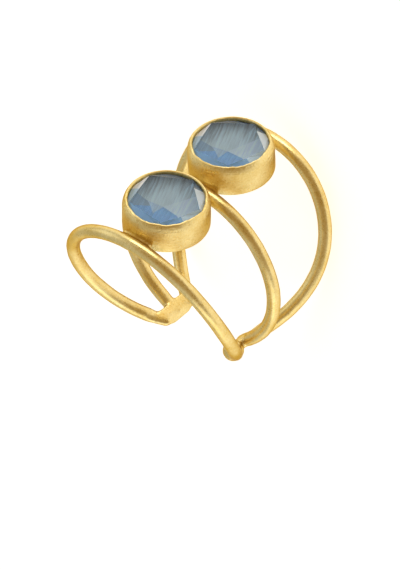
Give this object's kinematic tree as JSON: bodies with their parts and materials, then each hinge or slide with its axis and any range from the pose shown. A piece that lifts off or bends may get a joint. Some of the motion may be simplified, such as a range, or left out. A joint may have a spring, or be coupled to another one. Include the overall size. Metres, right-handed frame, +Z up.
{
  "type": "open wire ring with two bezel-set stones",
  "caption": "Open finger ring of fanned round wires joined at flat ends, with two faceted grey-blue stones in round bezel cups.",
  "frame": {"origin": "middle of the part's box at floor level, with the ring lying on its side on the back wire", "axes": "+Z up, close to the finger axis, which leans 20.7 degrees; -Y is the side that the stones face"},
  "size_m": [0.0206, 0.0239, 0.0214],
  "materials": {
    "gold": "satin, brushed gold plating",
    "stone": "polished facets, fibrous grey-blue inside"
  },
  "bodies": {
    "root": {"ring_frame": "gold", "front_stone": "stone", "back_stone": "stone"}
  },
  "joints": []
}
